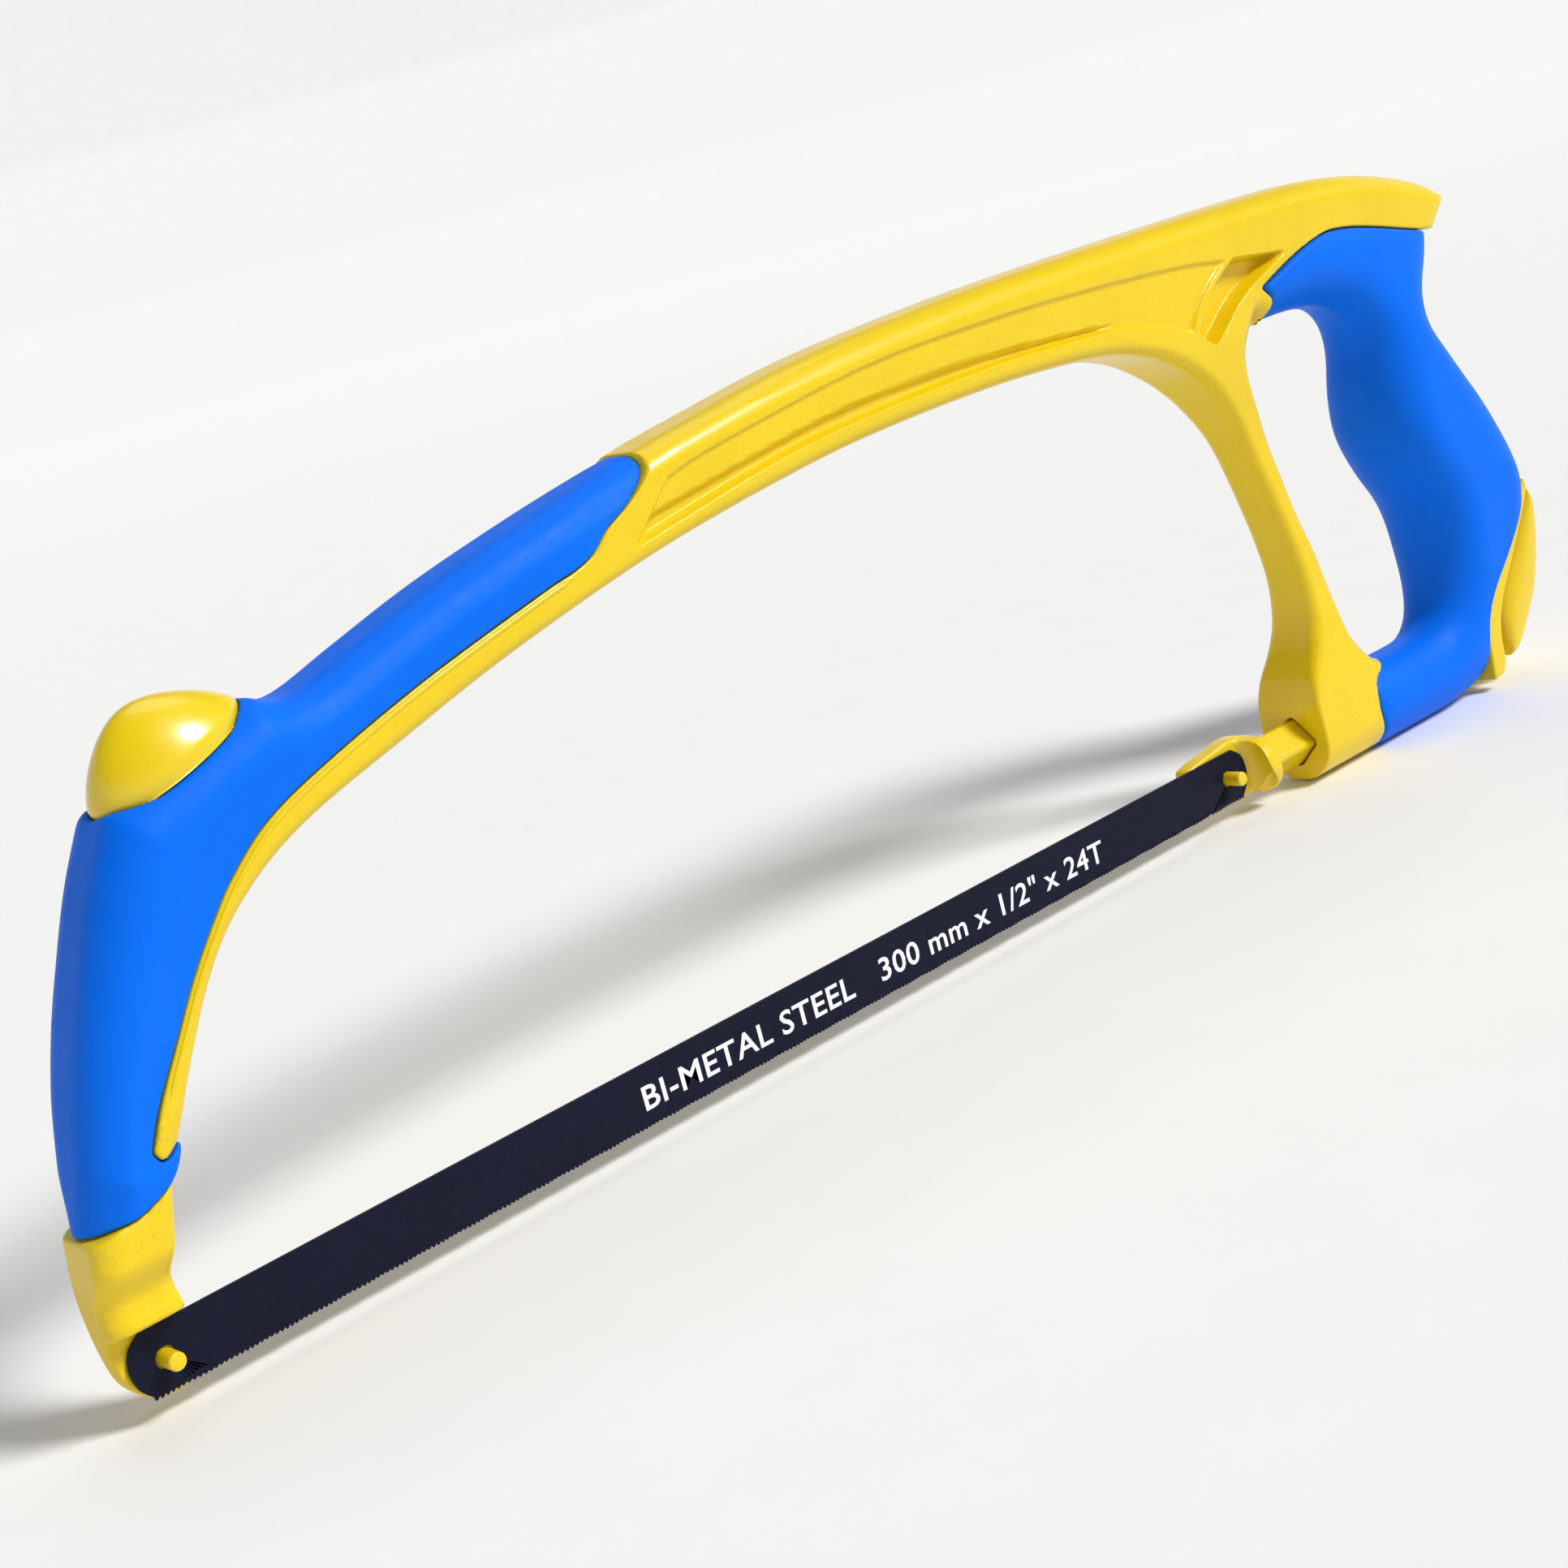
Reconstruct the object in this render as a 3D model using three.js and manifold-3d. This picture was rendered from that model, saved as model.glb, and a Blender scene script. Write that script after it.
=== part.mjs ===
// Hacksaw with a die-cast bow, moulded grips, and a cam lever that tensions a 300 mm blade.
// Millimetres. Everything is drawn in the saw's own side view first: X runs along the blade from
// the front pin to the handle, Z rises from the teeth to the bow, Y is the thickness, and the
// origin is the middle of the front blade pin. The last group then sets the saw over its origin.
import * as THREE from 'three';
import { mergeVertices } from 'three/addons/utils/BufferGeometryUtils.js';
import Module from 'manifold-3d';

const wasm = await Module();
wasm.setup();

// ---- driving dimensions -------------------------------------------------------------------
const CLEARANCE = 0.3; // between neighbouring pieces
const THROUGH = 40; // half length of a cutter that passes right through

const HOLE_PITCH = 300; // between the blade's two holes
const BLADE = { height: 12.7, thickness: 0.65, teethPerInch: 24, toothDepth: 0.65 };
const BLADE_HOLE_RADIUS = 2.15;
const PIN = { radius: 1.75, outside: 4.8, inside: 5.6 };
const BLADE_PLAY = 0.2; // how far the rear pin sits behind its hole's middle when tight

const BOW_HALF_WIDTH = 10.2;
const ARM_GRIP_HALF_WIDTH = 12.6;
const REAR_GRIP_HALF_WIDTH = 15.4;
const ARM_CORE = { halfWidth: 8.0, inset: 2.8 };
const TIP_HALF_WIDTH = 8.2;
const POST_HALF_WIDTH = 5.6;
const HANDLE_CORE = { halfWidth: 7.3, inset: 3.5 };

const BOSS = { front: 327.5, radius: 10.3 };
const SHANK = { side: 8.8, corner: 1.3, front: 311.4, back: 348 };
const SOCKET = { side: 9.7, back: 352 };
const COLLAR = { radius: 7.5, front: 310.8, back: 312.4 };
const ROD = { radius: 2.5, front: 344, past: 4.1 };

const PIVOT = { x: 412.6, z: 0 };
const BARREL_NUT = { radius: 3.4, near: -5.0, far: 6.4 };
const CAM = { shiftX: -0.19, shiftZ: 0.26, radius: 4.71 };
const SADDLE = { gap: 5.2, thickness: 1.6, halfHeight: 6.2 };
const LEVER = { halfWidth: 9.0, hubHalfWidth: 6.8, slotHalfWidth: 3.1, cavityRadius: 5.6 };
const POCKET_HALF_WIDTH = 7.2;
const BEZEL_HALF_WIDTH = 10.3;

const THUMB_CAP = { x: 33.9, z: 99.0, tilt: 19.5, half: [16.6, 10.2, 10.4], base: -2.4 };

// ---- outlines in the side view, as [x, z] ---------------------------------------------------
const OUTER_EDGE = [[-8.6, 27], [-5.9, 38.4], [-3.1, 48.5], [1.1, 60], [4.9, 68.8], [11.2, 82],
  [18.0, 93.4]];
const CAP_RIM = [[18.0, 93.4], [49.6, 104.4]];
const GRIP_TOP = [[49.6, 104.4], [55.5, 101.9], [62, 102.3], [75, 106.3], [95, 112.1],
  [120, 117.7], [153, 124.2]];
const BEAM_TOP = [[153, 124.2], [190.9, 129.6], [225, 132], [260, 133.1], [310, 133.4],
  [351, 133.2], [371, 132.5], [391.3, 129.8], [411.4, 124.5], [423.6, 118.4]];
const TAIL_END = [[423.6, 118.4], [412.5, 107.8]];
const TAIL_UNDERSIDE = [[412.5, 111.3], [404.4, 112.6], [385, 117.3], [374, 119.3], [366, 119.5],
  [353.3, 116.8], [338.5, 111.8]];
const NECK = [[338.5, 111.8], [341.8, 108.2], [340.2, 104.6]];
const POST_BACK = [[336.8, 105.2], [333, 100.4], [331.1, 94.6], [331.5, 89.5], [333.6, 82.3],
  [336.8, 69.9], [340.4, 56.3], [344.2, 44.5], [346.2, 34.5], [348.6, 25.2], [351.8, 18],
  [356, 13]];
const THROAT = [[12.1, 36.3], [17, 47], [26.7, 61.9], [36.6, 71.5], [51.3, 79.5], [75.9, 87],
  [105.4, 95], [144.7, 103.2], [184, 108.4], [213.5, 110.5], [250, 110.9], [280, 109],
  [297, 104.9], [308.4, 98.6], [316.6, 91.2], [321.8, 84]];
const POST_FRONT = [[321.8, 84], [324.6, 78.6], [328.2, 68.7], [331.4, 58.6], [333.9, 49.6],
  [335.8, 39.9], [335.9, 32.2], [335, 27], [332.6, 21.3], [329.2, 15.8], [327.5, 10]];
const TIP_FRONT = [[-7.2, 34], [-8.9, 25], [-9.9, 14], [-8.8, 1.5], [-6.3, -4.2], [-1.5, -6.8],
  [4.5, -6.2], [6.2, -2]];
const TIP_BACK = [[6.2, -2], [5.4, 9], [5.4, 17], [8.4, 28.5]];

// where the front grip's rubber meets the bare casting, from the blade end up and back
const FRONT_SHUT_OFF = [[-14, 26], [-8.8, 26.2], [-4, 27], [1.2, 27.9], [6.4, 30], [9.2, 31.9],
  [14.5, 36.6]];
const STRIP_END = [[14.5, 36.6], [11.4, 36.9], [7.6, 35.2], [5.9, 37.4]];
const STRIP_EDGE = [[5.9, 37.4], [9.5, 44.4], [15.6, 53.3], [21.9, 62.2], [28.5, 70],
  [35.1, 76.6], [44.8, 83.4], [59.5, 89.2], [83.9, 96.6], [113.1, 103.7], [121.5, 105.4],
  [127, 107.4], [131.5, 110.9], [138, 114.1], [143.6, 117.8], [145.7, 121.2], [145, 124.6],
  [143, 130]];
// the rear grip's: down the neck, along the boss, and up the lever's bezel
const BOSS_SHUT_OFF = [[362, 17], [357.5, 11.8], [352.6, 8.6], [351.2, 4.6], [350.9, -0.5],
  [352.2, -5], [354.5, -14]];
const BEZEL_EDGE = [[400.3, -16], [400.6, -2.2], [401, 5.2], [402.5, 10.4], [405.5, 15.2],
  [410.4, 20.5], [417, 27.3], [425, 35.6], [434, 46]];
const BEZEL_BACK = [[433.5, 41], [429, 34.6], [418.2, 20.8], [412.2, 13.8], [408.4, 7.5],
  [407, 2], [406.9, -3.5], [405, -7.2]];
const GRIP_BACK = [[412.6, 110.2], [409.8, 103.4], [407.2, 99], [405, 94.4], [405, 89.6],
  [408, 84], [412.8, 76], [418.2, 67.8], [422.6, 60.2], [427, 51.8], [429.6, 45], [430.2, 39],
  [428.5, 30]];
const D_OPENING = [[343, 103.4], [357, 103.2], [369.5, 101], [377.6, 95.2], [380.3, 88],
  [378.8, 77.5], [378.5, 67.5], [380.4, 60], [385, 51], [389.6, 43.8], [391.6, 37.5],
  [392.1, 29.5], [391.6, 21.5], [389.3, 15], [384, 11.3], [376, 10.4], [357, 10.6]];

// recesses in the beam's two sides
const PANEL_TOP = [[148.6, 116.8], [162.7, 119.7], [201.8, 124.6], [230, 125.9], [270, 125.5],
  [309.4, 123.5], [328.4, 121.2]];
const PANEL_END = [[328.4, 121.2], [320.2, 116.3], [314.2, 111.4], [310.6, 106.8]];
const CHANNEL_BOTTOM = [[310.6, 106.8], [299.6, 111.1], [280, 114.1], [250.7, 115.3],
  [220, 114.9], [182.3, 112.6], [135.8, 105.2]];
const RIDGE = [[290, 115.6], [251.8, 118.4], [225, 118.9], [192.9, 117.6], [143.9, 111.2]];
const POCKET = [[[330.4, 121], [351.5, 118.6]], [[351.5, 118.6], [341, 115], [330.4, 110.6],
  [318.4, 102.2]], [[318.4, 102.2], [312.4, 106.4]], [[312.4, 106.4], [322, 116.2],
  [330.4, 121]]];
const RECESS = { panel: 1.0, channel: 2.4, pocket: 6.6 };

// ---- building blocks -------------------------------------------------------------------------
const vectors = (points) => points.map(([x, z]) => new THREE.Vector2(x, z));

/** A closed shape from runs of points: two points are a straight edge, more are a smooth curve. */
function outline(...runs) {
  const points = runs.flatMap((run) => {
    if (run.length === 2) return vectors(run);
    return new THREE.SplineCurve(vectors(run)).getPoints(2 * (run.length - 1));
  });
  return new THREE.Shape(points.filter((point, i) =>
    point.distanceTo(points[(i + 1) % points.length]) > 0.05));
}

/** The solid that a closed three.js geometry bounds. */
function solid(geometry) {
  const bare = geometry.index ? geometry.clone() : geometry;
  bare.deleteAttribute('normal');
  bare.deleteAttribute('uv');
  const merged = mergeVertices(bare, 1e-4);
  return new wasm.Manifold(new wasm.Mesh({
    numProp: 3,
    vertProperties: new Float32Array(merged.attributes.position.array),
    triVerts: new Uint32Array(merged.index.array),
  }));
}

/** A side-view shape given thickness from y = near to y = far, its edges rounded over. */
function plate(shape, near, far, { round = 0, roundY = round, grow = 0, steps = 3, fine = 2 } = {}) {
  const geometry = new THREE.ExtrudeGeometry(shape, {
    depth: far - near - 2 * roundY,
    bevelEnabled: round > 0 || grow !== 0,
    bevelThickness: roundY,
    bevelSize: round,
    bevelOffset: grow - round,
    bevelSegments: round > 0 ? steps : 1,
    curveSegments: fine,
  });
  geometry.translate(0, 0, roundY - far);
  geometry.rotateX(Math.PI / 2);
  return solid(geometry);
}

/** A plate with the saw's middle plane in its middle. */
const slab = (shape, halfWidth, options) => plate(shape, -halfWidth, halfWidth, options);

/** A cutter that passes right through the saw from side to side. */
function through(shape, grow = 0) {
  const geometry = new THREE.ExtrudeGeometry(shape, {
    depth: 2 * THROUGH, bevelEnabled: grow !== 0, bevelThickness: 0.01, bevelSize: 0,
    bevelOffset: grow, bevelSegments: 1, curveSegments: 2,
  });
  geometry.translate(0, 0, -THROUGH);
  geometry.rotateX(Math.PI / 2);
  return solid(geometry);
}

/** A box from its lowest corner to its highest. */
function block(low, high) {
  const size = high.map((value, i) => value - low[i]);
  const geometry = new THREE.BoxGeometry(...size);
  geometry.translate(...low.map((value, i) => value + size[i] / 2));
  return solid(geometry);
}

/** A round bar along Y, from y = near to y = far. */
function crossBar(x, z, radius, near, far, sides = 24) {
  const geometry = new THREE.CylinderGeometry(radius, radius, far - near, sides);
  geometry.translate(x, (near + far) / 2, z);
  return solid(geometry);
}

/** A round bar along X on the blade's line. */
function axialBar(radius, front, back, sides = 24) {
  const geometry = new THREE.CylinderGeometry(radius, radius, back - front, sides);
  geometry.rotateZ(-Math.PI / 2);
  geometry.translate((front + back) / 2, 0, 0);
  return solid(geometry);
}

/** A bar of the given end-view shape, drawn as [y, z], from x = front to x = back. */
function endwise(shape, front, back, fine = 3) {
  const geometry = new THREE.ExtrudeGeometry(shape, {
    depth: back - front, bevelEnabled: false, curveSegments: fine,
  });
  geometry.rotateX(Math.PI / 2);
  geometry.rotateZ(Math.PI / 2);
  geometry.translate(front, 0, 0);
  return solid(geometry);
}

/** A square standing on its corner, seen end on, with its corners rounded. */
function diamond(side, corner) {
  const reach = side / Math.SQRT2;
  const cut = corner / Math.SQRT2;
  const shape = new THREE.Shape();
  shape.moveTo(reach - cut, -cut);
  shape.quadraticCurveTo(reach, 0, reach - cut, cut);
  shape.lineTo(cut, reach - cut);
  shape.quadraticCurveTo(0, reach, -cut, reach - cut);
  shape.lineTo(-reach + cut, cut);
  shape.quadraticCurveTo(-reach, 0, -reach + cut, -cut);
  shape.lineTo(-cut, -reach + cut);
  shape.quadraticCurveTo(0, -reach, cut, -reach + cut);
  shape.closePath();
  return shape;
}

/** Both sides of the saw cut down to y = ±floor inside the shape. */
function cutSides(body, shape, floor) {
  const near = plate(shape, -THROUGH, -floor);
  const far = plate(shape, floor, THROUGH);
  return body.subtract(near).subtract(far);
}

/** The solid as a named, coloured mesh. */
function piece(name, body, finish) {
  const result = body.getMesh();
  const geometry = new THREE.BufferGeometry();
  geometry.setAttribute('position', new THREE.BufferAttribute(result.vertProperties, 3));
  geometry.setIndex(new THREE.BufferAttribute(result.triVerts, 1));
  const flat = geometry.toNonIndexed();
  flat.computeVertexNormals();
  const mesh = new THREE.Mesh(flat, finish);
  mesh.name = name;
  return mesh;
}

const finish = (color, roughness, metalness) =>
  new THREE.MeshStandardMaterial({ color, roughness, metalness });
const YELLOW_PAINT = finish(0xf2cf12, 0.32, 0.0);
const BLUE_RUBBER = finish(0x0668f2, 0.6, 0.0);
const BLADE_STEEL = finish(0x14182c, 0.5, 0.6);
const PLATED_STEEL = finish(0xb9bcc0, 0.35, 1.0);

// ---- regions shared by the casting and the rubber ---------------------------------------------
const reversed = (run) => [...run].reverse();

// the bow runs on into the rear grip's space, and the grip's region trims it there
const BOW = outline(OUTER_EDGE, CAP_RIM, GRIP_TOP, BEAM_TOP, TAIL_END, [TAIL_END[1], [346, 100]],
  [[346, 100], [336.8, 105.2]], POST_BACK.slice(0, 3), [POST_BACK[2], [333.8, 81]],
  [[333.8, 81], [323, 81]], [[323, 81], THROAT.at(-2)], reversed(THROAT.slice(0, -1)),
  [THROAT[0], [9.2, 30]], [[9.2, 30], OUTER_EDGE[0]]);

const ARM = outline([[-10.2, 19], OUTER_EDGE[1]], OUTER_EDGE.slice(1), CAP_RIM, GRIP_TOP,
  [GRIP_TOP.at(-1), [170, 127]], [[170, 127], [172, 107]], [[172, 107], [155, 104.6]],
  [[155, 104.6], ...reversed(THROAT.slice(0, 8))], [THROAT[0], [6.5, 19]], [[6.5, 19], [-10.2, 19]]);

const FRONT_RUBBER = outline(FRONT_SHUT_OFF, STRIP_END, STRIP_EDGE, [[143, 130], [-14, 130]],
  [[-14, 130], [-14, 26]]);

const HANDLE = outline([[330, 123], [352, 124.5], [374, 124], [394, 121], [414.5, 116]],
  [[414.5, 116], GRIP_BACK[1]], GRIP_BACK.slice(1), [GRIP_BACK.at(-1), [411, -3.5]],
  [[411, -3.5], [398, -8.6]], [[398, -8.6], [386, -10.3]], [[386, -10.3], [345, -10.3]],
  [[345, -10.3], [345, 11]], [[345, 11], D_OPENING.at(-1)], reversed(D_OPENING),
  [D_OPENING[0], [330, 104.5]], [[330, 104.5], [330, 123]]);

const REAR_RUBBER = outline(reversed(NECK), reversed(TAIL_UNDERSIDE), [[412.5, 111.3], [440, 106]],
  [[440, 106], [434, 46]], reversed(BEZEL_EDGE), [[400.3, -16], [354.5, -14]],
  reversed(BOSS_SHUT_OFF), [[362, 17], [362, 60]], [[362, 60], [345, 98]],
  [[345, 98], [340.2, 104.6]]);

const POST = outline([[321, 87], [332, 88]], [[332, 88], POST_BACK[4]], POST_BACK.slice(4, 9),
  [POST_BACK[8], [349, 24]], [[349, 24], [336.2, 24]], [[336.2, 24], POST_FRONT[6]],
  reversed(POST_FRONT.slice(1, 7)), [POST_FRONT[1], [321, 87]]);
const BOSS_SIDE = outline(POST_FRONT.slice(4), [[327.5, 10], [BOSS.front, -12]],
  [[BOSS.front, -12], [362, -12]], [[362, -12], [362, 11]],
  [[362, 11], POST_BACK.at(-1)], reversed(POST_BACK.slice(7)), [POST_BACK[7], [342.3, 50]],
  [[342.3, 50], POST_FRONT[4]]);
const TIP = outline(TIP_FRONT, TIP_BACK, [TIP_BACK.at(-1), [9.8, 34]], [[9.8, 34], TIP_FRONT[0]]);
const BEZEL = outline([[405, -7.2], [400.4, -8]], [[400.4, -8], ...BEZEL_EDGE.slice(1, -1)],
  [[425, 35.6], [430.4, 40]], [[430.4, 40], ...BEZEL_BACK.slice(1)]);
const BEHIND_BEZEL = outline([[433.5, 41], ...BEZEL_BACK.slice(1)], [BEZEL_BACK.at(-1), [404.4, -20]],
  [[404.4, -20], [450, -20]], [[450, -20], [450, 41]], [[450, 41], [433.5, 41]]);
const LEVER_SIDE = outline([[412.6, -4.45], [417, -2.9], [423, 1.9], [429.2, 9.3], [432.8, 19],
  [434.1, 27.7], [433.3, 35.5]], [[433.3, 35.5], [431.2, 36.9]],
  [[431.2, 36.9], [426, 30.4], [419.8, 21.4], [414, 14], [410.8, 7.5], [410.2, 1], [410.5, -3.6]],
  [[410.5, -3.6], [412.6, -4.45]]);

/** The thumb cap's half egg, cut flat just under its tilted rim plane. */
function capEgg(grow) {
  const tilt = (-THUMB_CAP.tilt * Math.PI) / 180;
  const set = (geometry) => geometry.rotateY(tilt).translate(THUMB_CAP.x, 0, THUMB_CAP.z);
  const egg = new THREE.SphereGeometry(1, 28, 16);
  egg.scale(...THUMB_CAP.half.map((half) => half + grow));
  const above = new THREE.BoxGeometry(60, 60, 30);
  above.translate(0, 0, 15 + THUMB_CAP.base - grow);
  return solid(set(egg)).intersect(solid(set(above)));
}

/** The seat that the blade's end lies against, with the step over it. */
function bladeSeatCut() {
  const seat = BLADE.thickness / 2 + CLEARANCE;
  const step = new THREE.Shape([[-THROUGH, -15], [seat, -15], [seat, 6.9], [-2.8, 9.4],
    [-THROUGH, 9.4]].map(([y, z]) => new THREE.Vector2(y, z)));
  return endwise(step, -30, 20);
}

// ---- the casting ------------------------------------------------------------------------------
function bossFlare() {
  const r = BOSS.radius;
  const profile = new THREE.Shape();
  profile.moveTo(5.6, 50);
  profile.splineThru([[6.0, 42], [7.4, 28], [9.4, 13], [r, 1]].map((p) => new THREE.Vector2(...p)));
  profile.absarc(0, 0, r, 0, -Math.PI, true);
  profile.splineThru([[-9.4, 13], [-7.4, 28], [-6.0, 42], [-5.6, 50]]
    .map((p) => new THREE.Vector2(...p)));
  profile.closePath();
  return endwise(profile, 320, 362, 8).intersect(slab(BOSS_SIDE, 11, { round: 1.2 }));
}

function leverPocket() {
  const floor = PIVOT.x - SADDLE.gap - SADDLE.thickness - CLEARANCE;
  return slab(outline([[floor, -20], [floor, 7.5]],
    [[floor, 7.5], [410.4, 15.2], [417.2, 22.6], [427, 34.6], [431, 41]], [[431, 41], [450, 41]],
    [[450, 41], [450, -20]], [[450, -20], [floor, -20]]), POCKET_HALF_WIDTH);
}

function frameCasting() {
  let body = slab(BOW, BOW_HALF_WIDTH, { round: 3.6, roundY: 4.4 });
  body = body.add(slab(POST, POST_HALF_WIDTH, { round: 2.6 })).add(bossFlare());
  body = body.add(slab(BEZEL, BEZEL_HALF_WIDTH));
  body = body.add(slab(TIP, TIP_HALF_WIDTH, { round: 1.8, roundY: 2.6 }));
  body = body.subtract(through(FRONT_RUBBER)).subtract(through(REAR_RUBBER));
  body = body.add(slab(ARM, ARM_CORE.halfWidth, { round: 3, grow: -ARM_CORE.inset }));
  body = body.add(slab(HANDLE, HANDLE_CORE.halfWidth, { round: 3, grow: -HANDLE_CORE.inset }));

  const panel = outline(PANEL_TOP, PANEL_END, CHANNEL_BOTTOM, [[135.8, 105.2], [148.6, 116.8]]);
  const channel = outline(RIDGE, [[143.9, 111.2], [135.8, 105.2]], reversed(CHANNEL_BOTTOM.slice(2)),
    [[280, 114.1], [290, 115.6]]);
  body = cutSides(body, panel, BOW_HALF_WIDTH - RECESS.panel);
  body = cutSides(body, channel, BOW_HALF_WIDTH - RECESS.channel);
  body = cutSides(body, outline(...POCKET), BOW_HALF_WIDTH - RECESS.pocket);

  const socket = endwise(diamond(SOCKET.side, SHANK.corner), 320, SOCKET.back);
  body = body.subtract(socket).subtract(axialBar(ROD.radius + 0.6, 340, 420));
  body = body.subtract(bladeSeatCut());
  body = body.subtract(crossBar(0, 0, PIN.radius + CLEARANCE, -10, PIN.inside + CLEARANCE));
  return body.subtract(through(BEHIND_BEZEL)).subtract(leverPocket());
}

function saddle() {
  const back = PIVOT.x - SADDLE.gap;
  const plateBody = block([back - SADDLE.thickness, -6.8, -SADDLE.halfHeight],
    [back, 6.8, SADDLE.halfHeight]);
  return plateBody.subtract(axialBar(ROD.radius + 0.5, 400, 410));
}

// ---- rubber and trim ----------------------------------------------------------------------------
function frontGrip() {
  const skin = slab(ARM, ARM_GRIP_HALF_WIDTH, { round: 5, roundY: 7.5, steps: 4 });
  const trimmed = skin.intersect(through(FRONT_RUBBER, -CLEARANCE));
  const core = slab(ARM, ARM_CORE.halfWidth + CLEARANCE,
    { round: 3, grow: CLEARANCE - ARM_CORE.inset });
  const tip = slab(TIP, TIP_HALF_WIDTH + CLEARANCE, { round: 1.8, roundY: 2.6, grow: CLEARANCE });
  return trimmed.subtract(core).subtract(tip.subtract(through(FRONT_RUBBER)))
    .subtract(capEgg(CLEARANCE));
}

function rearGrip() {
  const z = new THREE.Shape();
  z.moveTo(9.6, -14);
  z.splineThru([[11, -5], [11.4, 4], [12.4, 16], [14.6, 34], [15.8, 56], [15.4, 74], [13.4, 92],
    [12.2, 104], [12, 122]].map((p) => new THREE.Vector2(...p)));
  z.lineTo(-12, 122);
  z.splineThru([[-12.2, 104], [-13.4, 92], [-15.4, 74], [-15.8, 56], [-14.6, 34], [-12.4, 16],
    [-11.4, 4], [-11, -5], [-9.6, -14]].map((p) => new THREE.Vector2(...p)));
  z.closePath();
  const skin = slab(HANDLE, REAR_GRIP_HALF_WIDTH, { round: 2.6, roundY: 11, steps: 4 })
    .intersect(endwise(z, 330, 450)).intersect(through(REAR_RUBBER, -CLEARANCE));
  const core = slab(HANDLE, HANDLE_CORE.halfWidth + CLEARANCE,
    { round: 3, grow: CLEARANCE - HANDLE_CORE.inset });
  return skin.subtract(core);
}

// ---- blade and its holder -------------------------------------------------------------------------
function blade() {
  const { height, thickness } = BLADE;
  const half = height / 2;
  const pitch = 25.4 / BLADE.teethPerInch;
  const root = -half + BLADE.toothDepth;
  const shape = new THREE.Shape();
  shape.moveTo(-3.6, half);
  shape.splineThru([[-6.4, 3.9], [-7.3, 0.4], [-6.3, -3.0], [-3.8, root]]
    .map((p) => new THREE.Vector2(...p)));
  for (let x = -3.4; x < HOLE_PITCH + 3; x += pitch) {
    shape.lineTo(x, -half);
    shape.lineTo(x + pitch * 0.85, root);
  }
  shape.splineThru([[306.2, -3.0], [307.1, 0.4], [306.2, 3.9], [303.4, half]]
    .map((p) => new THREE.Vector2(...p)));
  shape.closePath();
  for (const x of [0, HOLE_PITCH]) {
    const hole = new THREE.Path();
    hole.absarc(x, 0, BLADE_HOLE_RADIUS, 0, 2 * Math.PI, true);
    shape.holes.push(hole);
  }
  return plate(shape, -thickness / 2, thickness / 2, { fine: 6 });
}

/** A plate behind the blade, a dished collar round the blade's end, and the square shank. */
function bladeHolder() {
  const seat = BLADE.thickness / 2 + CLEARANCE;
  const head = outline([[287.6, 3.4], [288.4, 6.2], [298, 7.8], [306, 8.6], [311.6, 7.0]],
    [[311.6, 7.0], [311.6, -6.4]], [[311.6, -6.4], [305, -6.8], [294, -5.0], [287.6, 3.4]]);
  const dish = new THREE.Shape();
  dish.moveTo(307.7, seat);
  dish.splineThru([[309.6, -1.0], [310.3, -3.4], [309.6, -5.8], [308.2, -8.4]]
    .map((p) => new THREE.Vector2(...p)));
  dish.lineTo(311.6, -8.4);
  dish.lineTo(311.6, seat);
  dish.closePath();
  const front = new THREE.ExtrudeGeometry(dish, { depth: 20, bevelEnabled: false,
    curveSegments: 4 });
  front.translate(0, 0, -10);
  const rim = solid(front).intersect(axialBar(COLLAR.radius, 300, COLLAR.back, 40));
  const collar = axialBar(COLLAR.radius, COLLAR.front, COLLAR.back, 40);
  let body = plate(head, seat, 5.4, { round: 0.9 }).add(collar).add(rim);
  body = body.add(endwise(diamond(SHANK.side, SHANK.corner), SHANK.front, SHANK.back));
  body = body.subtract(crossBar(HOLE_PITCH, 0, PIN.radius + CLEARANCE, -10, PIN.inside));
  body = body.subtract(crossBar(HOLE_PITCH, 0, PIN.radius + CLEARANCE, 0, 10));
  return body.subtract(axialBar(ROD.radius + CLEARANCE, ROD.front - CLEARANCE, 360));
}

// ---- tensioner -------------------------------------------------------------------------------------
function barrelNut() {
  const nut = crossBar(PIVOT.x, PIVOT.z, BARREL_NUT.radius, BARREL_NUT.near, BARREL_NUT.far);
  return nut.subtract(axialBar(ROD.radius + CLEARANCE, 400, 425));
}

function tensionLever() {
  const hub = crossBar(PIVOT.x + CAM.shiftX, PIVOT.z + CAM.shiftZ, CAM.radius,
    -LEVER.hubHalfWidth, LEVER.hubHalfWidth, 40);
  const reach = LEVER.slotHalfWidth;
  let body = slab(LEVER_SIDE, LEVER.halfWidth, { round: 1.1, roundY: 2.4 }).add(hub);
  body = body.subtract(crossBar(PIVOT.x, PIVOT.z, LEVER.cavityRadius, -reach, reach));
  body = body.subtract(block([400, -reach, -12], [417.4, reach, reach]));
  return body.subtract(crossBar(PIVOT.x, PIVOT.z, BARREL_NUT.radius + 0.4,
    BARREL_NUT.near - CLEARANCE, 20, 28));
}

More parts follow.
